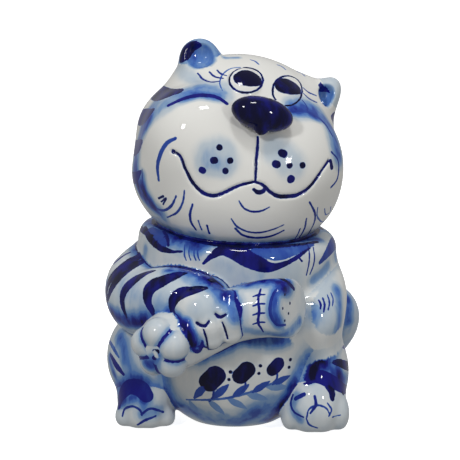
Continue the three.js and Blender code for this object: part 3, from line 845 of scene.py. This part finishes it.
        line((36.2, 47), (36.9, 44.4), (36.5, 41.6), half=0.4, depth=0.8),
        line((38, 48.2), (38.8, 45.4), (38.3, 42.4), half=0.35, depth=0.75),
        line((39.4, 49), (40.2, 46.6), (39.9, 44), half=0.3, depth=0.7),
        wash_and_shade((30, 46.5, 1.6), (29.6, 44, 2.4), depth=0.5),
        wash_and_shade((42, 50, 3), (43, 42, 4), (42, 34, 4), depth=0.4),
    ],
    "torso_shell arm_left haunch_left": [
        wash_and_shade((29.6, 47, 2), (31, 40, 3.5), (30.5, 33, 4.5), depth=0.3),
        wash_and_shade((33, 56, 8), (36, 47, 10), (36, 38, 9), depth=0.14),
        wash_and_shade((36, 30, 6), (42, 31, 6), depth=0.2),
    ],
    "haunch_left": [
        dab((40.4, 22, 1), (43, 21.6, 1.7), (46.6, 20.2, 2)),
        dab((42.8, 29, 0.7), (45.8, 26.8, 1.2), depth=0.8),
        wash_and_shade((30, 15, 4), (34, 21, 5), (39, 27, 5), (43, 31, 4), depth=0.8),
        wash_and_shade((42, 16, 3), (47, 15, 4), depth=0.5),
        wash_and_shade((40, 24, 6), depth=0.35),
    ],
    "haunch_right": [
        dab((-46.6, 25, 0.8), (-44.4, 20.8, 1.5), (-41.6, 17.4, 0.8), depth=0.85),
        dab((-47.4, 31, 0.6), (-45.4, 27.4, 0.9), (-43.4, 24, 0.5), depth=0.6),
        wash_and_shade((-43, 32, 4), (-41, 25, 5), (-38, 18, 4.5), (-35, 14, 3), depth=0.5),
        wash_and_shade((-47, 24, 3), (-45, 17, 3), depth=0.5),
    ],
    "foot_right haunch_right": [
        dab(
            (-43.2, 4.6, 1.2), (-42.8, 8.4, 2.6), (-39.4, 12.2, 3), (-35.4, 12, 3.4), (-32.6, 9, 2.8),
            depth=0.84,
        ),
        wash_and_shade((-43, 7, 4), (-37, 8, 4), (-33, 7, 3), depth=0.7),
        wash_and_shade((-45, 10, 3), (-40, 15, 4), (-33, 14, 4), depth=0.6),
        wash_and_shade((-34, 2, 3), (-28, 3, 4), depth=0.5),
        line((-42, 1), (-41, 3.8), (-38, 4.8), (-35.2, 3.4), (-34.4, 1.2), half=0.45, depth=0.8),
        line((-36, -2.4), (-33, -0.6), (-29, 1), half=0.5, depth=0.8),
        line((-34.6, 1.6), (-31, 3.9), (-26, 2.6), half=0.5, depth=0.8),
    ],
    "foot_left haunch_left": [
        dab(
            (29.8, 14.4, 1.5), (33.6, 16.4, 2.6), (38, 15.2, 3), (42.4, 13, 2.8), (45.6, 11, 1.8),
            depth=0.88,
        ),
        dab((38.6, 12.6, 1.8), (39.8, 10.4, 1.7), (39.9, 7.8, 1.1), depth=0.95),
        dab((43.4, 12.4, 2), (44, 10, 1)),
        wash_and_shade((31, 17, 4), (36, 21, 4.5), (42, 18, 4), depth=0.7),
        line((25.6, 7.8), (28.8, 9.4), half=0.9, depth=0.8),
        line((24.6, 9.4), (23.7, 6), (25, 2.6), (28.6, 0.6), half=0.45, depth=0.8),
        line((33, 8.8), (33.5, 5.4), (31.4, 2.2), half=0.5, depth=0.8),
        line((29.8, 0), (30.8, 3.6), (34, 5.2), (37.4, 4.2), (39, 1.4), half=0.35, depth=0.75),
        line((29.8, 0), (31, -2.4), (34, -3.6), half=0.35, depth=0.75),
        line((38, 6), (39.6, 3.6), (38.6, 1), half=0.35, depth=0.75),
        line((40, 0.6), (43, 1.4), half=0.3, depth=0.7),
        wash_and_shade((26, 9, 3), (24.6, 4, 2.6), (27, 0, 2.6), depth=0.4),
    ],
    "tail": [
        wash_and_shade((44, 57, 3), (46, 47, 3), (46.5, 38, 3), depth=0.5),
        *[dab((-10 - 2.2 * stripe, 60 - 8 * stripe, 1.1), (-16 - 2.2 * stripe, 58.5 - 8 * stripe, 1.6),
              (-22 - 2.2 * stripe, 60 - 8 * stripe, 1), turn=90) for stripe in range(4)],
        *[dab((across, 18, 1), (across - 1, 11, 1.7), (across, 5, 1), turn=180)
          for across in (-30, -21, -12, -4)],
    ],
}

# Along a part's border with a neighbour lie a cobalt line and a wash of painted shade in the crease:
# (the line's half width, its depth, how far the painted shade reaches, the painted shade's depth).
SEAM_LINES_AND_SHADE = {
    ("head_shell", "neckerchief"): (0.25, 0.6, 2.2, 0.4),
    ("neckerchief", "head_shell"): (0.9, 0.95, 2.5, 0.6),
    ("arm_right", "neckerchief"): (0.5, 0.95, 3, 0.6),
    ("arm_left", "neckerchief"): (0.3, 0.75, 1.6, 0.3),
    ("arm_left", "sausage"): (0.4, 0.8, 3, 0.5),
    ("arm_right", "sausage_tied_end"): (0.5, 0.9, 3, 0.7),
    ("arm_right", "haunch_right"): (0.3, 0.7, 2.5, 0.5),
    ("torso_shell", "sausage"): (0.5, 0.9, 3, 0.7),
    ("torso_shell", "paw_right"): (0.5, 0.9, 3, 0.6),
    ("torso_shell", "sausage_tied_end"): (0.5, 0.9, 3.5, 0.7),
    ("torso_shell", "haunch_left"): (0.4, 0.85, 4, 0.8),
    ("torso_shell", "haunch_right"): (0.4, 0.8, 4, 0.7),
    ("torso_shell", "foot_left"): (0.35, 0.8, 3, 0.6),
    ("torso_shell", "foot_right"): (0.35, 0.8, 3, 0.6),
    ("torso_shell", "arm_right"): (0.3, 0.8, 3, 0.6),
    ("torso_shell", "tail"): (0.35, 0.8, 4, 0.6),
    ("torso_shell", "neckerchief"): (0.3, 0.7, 3, 0.5),
    ("paw_right", "sausage"): (0.35, 0.85, 1, 0.4),
    ("haunch_left", "foot_left"): (0.4, 0.8, 2, 0.5),
    ("haunch_right", "foot_right"): (0.4, 0.8, 2, 0.5),
    ("tail", "torso_shell"): (0.0, 0.0, 3, 0.5),
    ("haunch_left", "torso_shell"): (0.0, 0.0, 3, 0.5),
    ("haunch_right", "torso_shell"): (0.0, 0.0, 3, 0.5),
}

# Parts whose own lumps are outlined where they meet, and how heavily; painted shade is laid in those creases
# too.
CREASED = {"sausage_tied_end": 0.42}

# How much cobalt a part carries all over.
GROUND = {
    "ear_right": 0.4,
    "ear_left": 0.15,
    "haunch_left": 0.08,
    "haunch_right": 0.12,
    "tail": 0.26,
    "arm_right": 0.1,
    "arm_left": 0.06,
    "torso_shell": 0.06,
    "neckerchief": 0.09,
    "sausage": 0.08,
    "sausage_tied_end": 0.1,
    "paw_right": 0.06,
    "foot_left": 0.11,
    "foot_right": 0.11,
}

CLEAR = 3.0  # a distance in millimetres that is clear of any paint
STROKE_REACH = 0.8  # how far off its own parts' skins a stroke still shows
WASH_FADE = 1.2  # a wash ends this many times its greatest half width from its middle line
GROOVE_WIDTH = 0.6
EAR_REACH = 3  # how far round an ear its painted hollow is looked for
EAR_WASH = 0.88
NOSE_DEPTH = 0.96


def brush(points, each, owner):
    """For each point: how far the nearest line and dab are, their depths, the washes of cobalt and painted
    shade, and the groove.
    """
    count = len(points)
    paint = {
        "line": np.full(count, CLEAR),
        "line_depth": np.zeros(count),
        "dab": np.full(count, CLEAR),
        "dab_depth": np.zeros(count),
        "wash_and_shade": np.array([GROUND.get(name, 0.0) for name in NAMES])[owner],
        "groove": np.zeros(count),
    }
    for names, stroke, places, halves in LAID_STROKES:
        margin = halves.max() + 1.6
        near = np.all((points > places.min(0) - margin) & (points < places.max(0) + margin), axis=1)
        near = np.flatnonzero(near)
        own = [NAMES.index(name) for name in names.split()]
        near = near[each[np.ix_(own, near)].min(axis=0) < STROKE_REACH]
        if len(near) == 0:
            continue
        gap = distance_along(points[near], places, halves if stroke.kind != "wash_and_shade" else 0 * halves)
        if stroke.kind == "wash_and_shade":
            nearness = np.clip(1 - gap / (WASH_FADE * halves.max()), 0, 1)
            wash_and_shade_strength = stroke.depth * nearness**2 * (3 - 2 * nearness)
            paint["wash_and_shade"][near] = 1 - (1 - paint["wash_and_shade"][near]) * (1 - wash_and_shade_strength)
        else:
            add_mark(paint, "line" if stroke.kind == "fine" else "dab", near, gap, stroke.depth)
        if stroke.groove:
            dip = stroke.groove * np.exp(-np.square(np.maximum(gap + 0.3, 0) / GROOVE_WIDTH))
            paint["groove"][near] = np.maximum(paint["groove"][near], dip)
    for (name, other), (half, depth, width, wash_and_shade_strength) in SEAM_LINES_AND_SHADE.items():
        near = np.flatnonzero((owner == NAMES.index(name)) & (each[NAMES.index(other)] < 2.5 * width + 1))
        gap = np.maximum(each[NAMES.index(other), near], 0)
        # painted shade in the crease along the border, fading away from it
        seam_shade = wash_and_shade_strength * np.exp(-np.square(gap / width))
        paint["wash_and_shade"][near] = 1 - (1 - paint["wash_and_shade"][near]) * (1 - seam_shade)
        if half:
            add_mark(paint, "line", near, gap - 2 * half, depth)
    for name, half in CREASED.items():
        near = np.flatnonzero(owner == NAMES.index(name))
        lumps = np.sort([lump.distance(points[near]) for lump in PARTS[name].lumps[1:]], axis=0)
        gap = 0.5 * (lumps[1] - lumps[0])
        add_mark(paint, "line", near, gap - half, 0.85)
        # painted shade in the creases between the lobes
        paint["wash_and_shade"][near] = np.maximum(paint["wash_and_shade"][near], 0.4 * np.exp(-np.square(gap / 1.2)))
    for name in ("ear_right", "ear_left"):
        near = np.flatnonzero(each[NAMES.index(name)] < EAR_REACH)
        inside = np.clip(0.6 - PARTS[name].hollow.distance(points[near]) / 2.4, 0, 1)
        paint["wash_and_shade"][near] = np.maximum(paint["wash_and_shade"][near], EAR_WASH * inside)
    add_mark(paint, "dab", np.flatnonzero(owner == NAMES.index("nose")), -1, NOSE_DEPTH)
    return paint


def add_mark(paint, kind, near, gap, depth):
    """Lays one mark over the others of its kind: the nearest edge wins."""
    gap = np.broadcast_to(gap, near.shape)
    nearer = gap < paint[kind][near]
    paint[kind][near[nearer]] = gap[nearer]
    paint[kind + "_depth"][near[nearer]] = depth


def lay_strokes():
    """Casts every stroke of PAINT on to the skin: (part, stroke, places, half widths)."""
    laid = []
    named = [(name, stroke) for name, strokes in PAINT.items() for stroke in strokes]
    for turn in sorted({stroke.turn for _, stroke in named}):
        chosen = [(name, stroke) for name, stroke in named if stroke.turn == turn]
        stations = np.concatenate([stroke.line for _, stroke in chosen])
        places = cast(stations[:, 0], stations[:, 1], turn)
        first = 0
        for name, stroke in chosen:
            last = first + len(stroke.line)
            laid.append((name, stroke, places[first:last], stations[first:last, 2]))
            first = last
    return laid


LAID_STROKES = lay_strokes()

# Small parts, whose edges are kept short all over.
FINE_PARTS = (
    "paw_right",
    "sausage_tied_end",
    "foot_left",
    "foot_right",
    "eye_right",
    "eye_left",
    "ear_right",
    "ear_left",
)


def wanted_edge(points):
    """How long an edge may be: short where a painted edge runs close by."""
    each = figure(points)[1]
    paint = brush(points, each, each.argmin(axis=0))
    length = np.full(len(points), 1.3)
    small_parts = np.isin(each.argmin(axis=0), [NAMES.index(name) for name in FINE_PARTS])
    length[small_parts] = 0.75
    length[np.abs(paint["dab"]) < 0.9] = 0.55
    length[paint["line"] < 0.7] = 0.36
    return length


# ---------------------------------------------------------------- pieces

SHELL = 1.2  # thickness of each piece's skin


def build_piece(name, vertices, normals, triangles, attributes, material):
    """A closed shell under one piece's share of the skin, riding on the figure's only body."""
    used, flat = np.unique(triangles, return_inverse=True)
    faces = flat.reshape(-1, 3)
    outer = vertices[used]
    inner = outer - SHELL * normals[used]
    inner[:, 2] = np.maximum(inner[:, 2], 0.2)
    count = len(used)
    directed = np.concatenate([faces[:, [0, 1]], faces[:, [1, 2]], faces[:, [2, 0]]])
    keys = directed[:, 0] * count + directed[:, 1]
    back_keys = directed[:, 1] * count + directed[:, 0]
    rim = directed[~np.isin(keys, back_keys)]
    a, b = rim.T
    rim_low = np.stack([b, a, a + count], axis=1)
    rim_high = np.stack([b, a + count, b + count], axis=1)
    all_faces = np.concatenate([faces, faces[:, ::-1] + count, rim_low, rim_high])
    mesh = bpy.data.meshes.new(name)
    mesh.vertices.add(2 * count)
    mesh.vertices.foreach_set("co", ((np.concatenate([outer, inner]) + ORIGIN) * MM).ravel())
    mesh.loops.add(3 * len(all_faces))
    mesh.loops.foreach_set("vertex_index", all_faces.ravel())
    mesh.polygons.add(len(all_faces))
    mesh.polygons.foreach_set("loop_start", 3 * np.arange(len(all_faces)))
    mesh.update(calc_edges=True)
    mesh.polygons.foreach_set("use_smooth", np.ones(len(all_faces), bool))
    mesh.normals_split_custom_set_from_vertices(np.concatenate([normals[used], -normals[used]]))
    for key, values in attributes.items():
        layer = mesh.attributes.new(key, "FLOAT", "POINT")
        layer.data.foreach_set("value", np.tile(values[used], 2).astype(np.float32))
    mesh.materials.append(material)
    piece = bpy.data.objects.new("glazed_" + name, mesh)
    bpy.context.scene.collection.objects.link(piece)
    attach(piece, "root")
    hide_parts(name)
    return piece


def build_figure():
    """Meshes, paints and splits the figure, and builds one piece for each part."""
    vertices, triangles = field_surface()
    vertices = on_skin(vertices)
    vertices, triangles = refined(vertices, triangles, wanted_edge)
    vertices, triangles = cut_along_seams(vertices, triangles)
    normals = vertex_normals(vertices, triangles)
    each = figure(vertices)[1]
    paint = brush(vertices, each, each.argmin(axis=0))
    vertices = vertices - paint.pop("groove")[:, None] * normals
    normals = vertex_normals(vertices, triangles)
    owner = figure(vertices[triangles].mean(axis=1))[1].argmin(axis=0)
    material = painted_glaze()
    for index, name in enumerate(NAMES):
        build_piece(name, vertices, normals, triangles[owner == index], paint, material)


# ---------------------------------------------------------------- glaze

# How cobalt looks on the white body, from bare glaze to a full brush; painted shade is laid in as cobalt on
# the same scale.
COBALT_AND_PAINTED_SHADE = [
    (0.0, (0.64, 0.635, 0.605)),
    (0.15, (0.42, 0.48, 0.53)),
    (0.35, (0.17, 0.28, 0.46)),
    (0.5, (0.07, 0.165, 0.43)),
    (0.65, (0.022, 0.06, 0.3)),
    (0.85, (0.006, 0.007, 0.16)),
    (1.0, (0.0015, 0.0015, 0.022)),
]


class Nodes:
    """Short names for adding and joining the nodes of one material."""

    def __init__(self, name):
        self.material = bpy.data.materials.new(name)
        self.material.use_nodes = True
        self.tree = self.material.node_tree
        self.shader = self.tree.nodes["Principled BSDF"]

    def join(self, value, socket):
        if isinstance(value, bpy.types.NodeSocket):
            self.tree.links.new(value, socket)
        else:
            socket.default_value = value

    def attribute(self, name):
        node = self.tree.nodes.new("ShaderNodeAttribute")
        node.attribute_name = name
        return node.outputs["Fac"]

    def maths(self, operation, *values, clamp=False):
        node = self.tree.nodes.new("ShaderNodeMath")
        node.operation = operation
        node.use_clamp = clamp
        for value, socket in zip(values, node.inputs):
            self.join(value, socket)
        return node.outputs[0]

    def ranged(self, value, low, high, to_low, to_high):
        """The value taken smoothly from one range to another."""
        node = self.tree.nodes.new("ShaderNodeMapRange")
        node.interpolation_type = "SMOOTHSTEP"
        for item, socket in zip((value, low, high, to_low, to_high), node.inputs):
            self.join(item, socket)
        return node.outputs[0]

    def noise(self, place, scale, detail=2.0, stretch=(1, 1, 1)):
        mapping = self.tree.nodes.new("ShaderNodeMapping")
        mapping.inputs["Scale"].default_value = stretch
        self.join(place, mapping.inputs["Vector"])
        node = self.tree.nodes.new("ShaderNodeTexNoise")
        node.inputs["Scale"].default_value = scale
        node.inputs["Detail"].default_value = detail
        self.join(mapping.outputs[0], node.inputs["Vector"])
        return node.outputs["Fac"]


def painted_glaze():
    """White body, cobalt and painted shade under the glaze, and a clear glaze over both."""
    nodes = Nodes("painted_glaze")
    place = nodes.tree.nodes.new("ShaderNodeTexCoord").outputs["Object"]
    cloud = nodes.noise(place, 90)
    streaks = nodes.noise(place, 240, 3, stretch=(1, 1, 0.35))
    wobble = nodes.ranged(nodes.noise(place, 700, 1), 0.2, 0.8, -0.09, 0.09)

    def laid_on(kind, depth_change):
        edge = nodes.maths("ADD", nodes.attribute(kind), wobble)
        cover = nodes.ranged(edge, -0.13, 0.13, 1, 0)
        covered = nodes.maths("MULTIPLY", cover, nodes.attribute(kind + "_depth"))
        return nodes.maths("MULTIPLY", covered, depth_change)

    uneven = nodes.ranged(streaks, 0.25, 0.75, 0.93, 1.05)
    # the washes hold thinned cobalt and painted shade alike
    thin = nodes.maths("MULTIPLY", nodes.attribute("wash_and_shade"), nodes.ranged(streaks, 0.25, 0.75, 0.72, 1.18))
    thin = nodes.maths("MULTIPLY", thin, nodes.ranged(cloud, 0.3, 0.7, 0.85, 1.12))
    marks = nodes.maths("MAXIMUM", laid_on("line", uneven), laid_on("dab", uneven))
    cobalt = nodes.maths("MAXIMUM", marks, thin)
    ramp = nodes.tree.nodes.new("ShaderNodeValToRGB")
    ramp.color_ramp.interpolation = "EASE"
    ramp.color_ramp.elements[0].position = COBALT_AND_PAINTED_SHADE[0][0]
    ramp.color_ramp.elements[0].color = (*COBALT_AND_PAINTED_SHADE[0][1], 1)
    ramp.color_ramp.elements[1].position = COBALT_AND_PAINTED_SHADE[-1][0]
    ramp.color_ramp.elements[1].color = (*COBALT_AND_PAINTED_SHADE[-1][1], 1)
    for position, colour in COBALT_AND_PAINTED_SHADE[1:-1]:
        ramp.color_ramp.elements.new(position).color = (*colour, 1)
    nodes.join(cobalt, ramp.inputs["Fac"])
    nodes.join(ramp.outputs["Color"], nodes.shader.inputs["Base Color"])
    nodes.join(nodes.ranged(cloud, 0.3, 0.7, 0.2, 0.3), nodes.shader.inputs["Roughness"])
    nodes.shader.inputs["Specular IOR Level"].default_value = 0.0
    nodes.shader.inputs["Coat Weight"].default_value = 0.9
    nodes.shader.inputs["Coat Roughness"].default_value = 0.04
    nodes.shader.inputs["Coat IOR"].default_value = 1.33
    ripple = nodes.tree.nodes.new("ShaderNodeBump")
    ripple.inputs["Strength"].default_value = 0.35
    ripple.inputs["Distance"].default_value = 0.0008
    nodes.join(nodes.noise(place, 55, 1), ripple.inputs["Height"])
    nodes.join(ripple.outputs[0], nodes.shader.inputs["Normal"])
    nodes.join(ripple.outputs[0], nodes.shader.inputs["Coat Normal"])
    return nodes.material


# ---------------------------------------------------------------- studio


def aim(thing, target):
    """Turns a camera or lamp to face a place in metres."""
    direction = Vector(target) - thing.location
    thing.rotation_euler = direction.to_track_quat("-Z", "Y").to_euler()


def add_camera():
    """The camera stands where the painter's eye is, so that strokes are laid as it sees them."""
    data = bpy.data.cameras.new("photo_camera")
    data.sensor_width = 36
    data.lens = 36 * VIEW_DISTANCE / VIEW_WIDTH
    data.clip_end = 10
    camera = bpy.data.objects.new("photo_camera", data)
    camera.location = (EYE + ORIGIN) * MM
    bpy.context.scene.collection.objects.link(camera)
    aim(camera, (FOCUS + ORIGIN) * MM)
    bpy.context.scene.camera = camera


def add_soft_light(name, place, size, watts, mirrored=True):
    """A soft lamp, in metres; one that isn't mirrored lights the glaze but leaves no highlight in it."""
    data = bpy.data.lights.new(name, "AREA")
    data.shape = "RECTANGLE"
    data.size, data.size_y = size
    data.energy = watts
    light = bpy.data.objects.new(name, data)
    light.location = place
    light.visible_glossy = mirrored
    bpy.context.scene.collection.objects.link(light)
    aim(light, (0, 0, 0.08))


def add_backdrop():
    """A round white wall that only the camera sees, so that the background is white from every side."""
    radius, low, high, panels = 2.5, -0.5, 6.0, 32
    angles = [2 * math.pi * panel / panels for panel in range(panels)]
    rim = [(radius * math.cos(angle), radius * math.sin(angle)) for angle in angles]
    points = [(x, y, z) for z in (low, high) for x, y in rim]
    faces = [(k, (k + 1) % panels, (k + 1) % panels + panels, k + panels) for k in range(panels)]
    mesh = bpy.data.meshes.new("backdrop")
    mesh.from_pydata(points, [], faces)
    backdrop = bpy.data.objects.new("backdrop", mesh)
    bpy.context.scene.collection.objects.link(backdrop)
    glow = bpy.data.materials.new("backdrop_glow")
    glow.use_nodes = True
    shader = glow.node_tree.nodes["Principled BSDF"]
    shader.inputs["Emission Color"].default_value = (1, 1, 1, 1)
    shader.inputs["Emission Strength"].default_value = 1
    mesh.materials.append(glow)
    backdrop.visible_glossy = False
    backdrop.visible_diffuse = False
    backdrop.visible_shadow = False


def add_studio():
    """A pale floor and backdrop that glow but cast no light on the glaze, and four soft lamps."""
    side = 3.0
    mesh = bpy.data.meshes.new("floor")
    corners = [(-side, -side, 0), (side, -side, 0), (side, side, 0), (-side, side, 0)]
    mesh.from_pydata(corners, [], [(0, 1, 2, 3)])
    floor = bpy.data.objects.new("floor", mesh)
    bpy.context.scene.collection.objects.link(floor)
    paper = bpy.data.materials.new("floor_paper")
    paper.use_nodes = True
    shader = paper.node_tree.nodes["Principled BSDF"]
    shader.inputs["Base Color"].default_value = (0.9, 0.9, 0.9, 1)
    shader.inputs["Roughness"].default_value = 0.9
    shader.inputs["Emission Color"].default_value = (1, 1, 1, 1)
    shader.inputs["Emission Strength"].default_value = 0.82
    mesh.materials.append(paper)
    floor.visible_glossy = False
    floor.visible_diffuse = False
    add_backdrop()
    world = bpy.data.worlds.new("studio")
    bpy.context.scene.world = world
    world.use_nodes = True
    sky = world.node_tree.nodes["Background"]
    sky.inputs["Color"].default_value = (1, 1, 1, 1)
    sky.inputs["Strength"].default_value = 0.38
    bpy.context.scene.view_settings.view_transform = "Standard"
    add_soft_light("window_left", (-0.45, -0.75, 0.65), (0.1, 0.14), 4.2)
    add_soft_light("window_right", (0.6, -0.7, 0.4), (0.06, 0.1), 1.8)
    add_soft_light("window_above", (0.1, -0.3, 1.1), (0.2, 0.12), 3.6)
    add_soft_light("window_behind", (0.3, 1.0, 0.8), (0.4, 0.4), 2.5, mirrored=False)


build_figure()
add_camera()
add_studio()
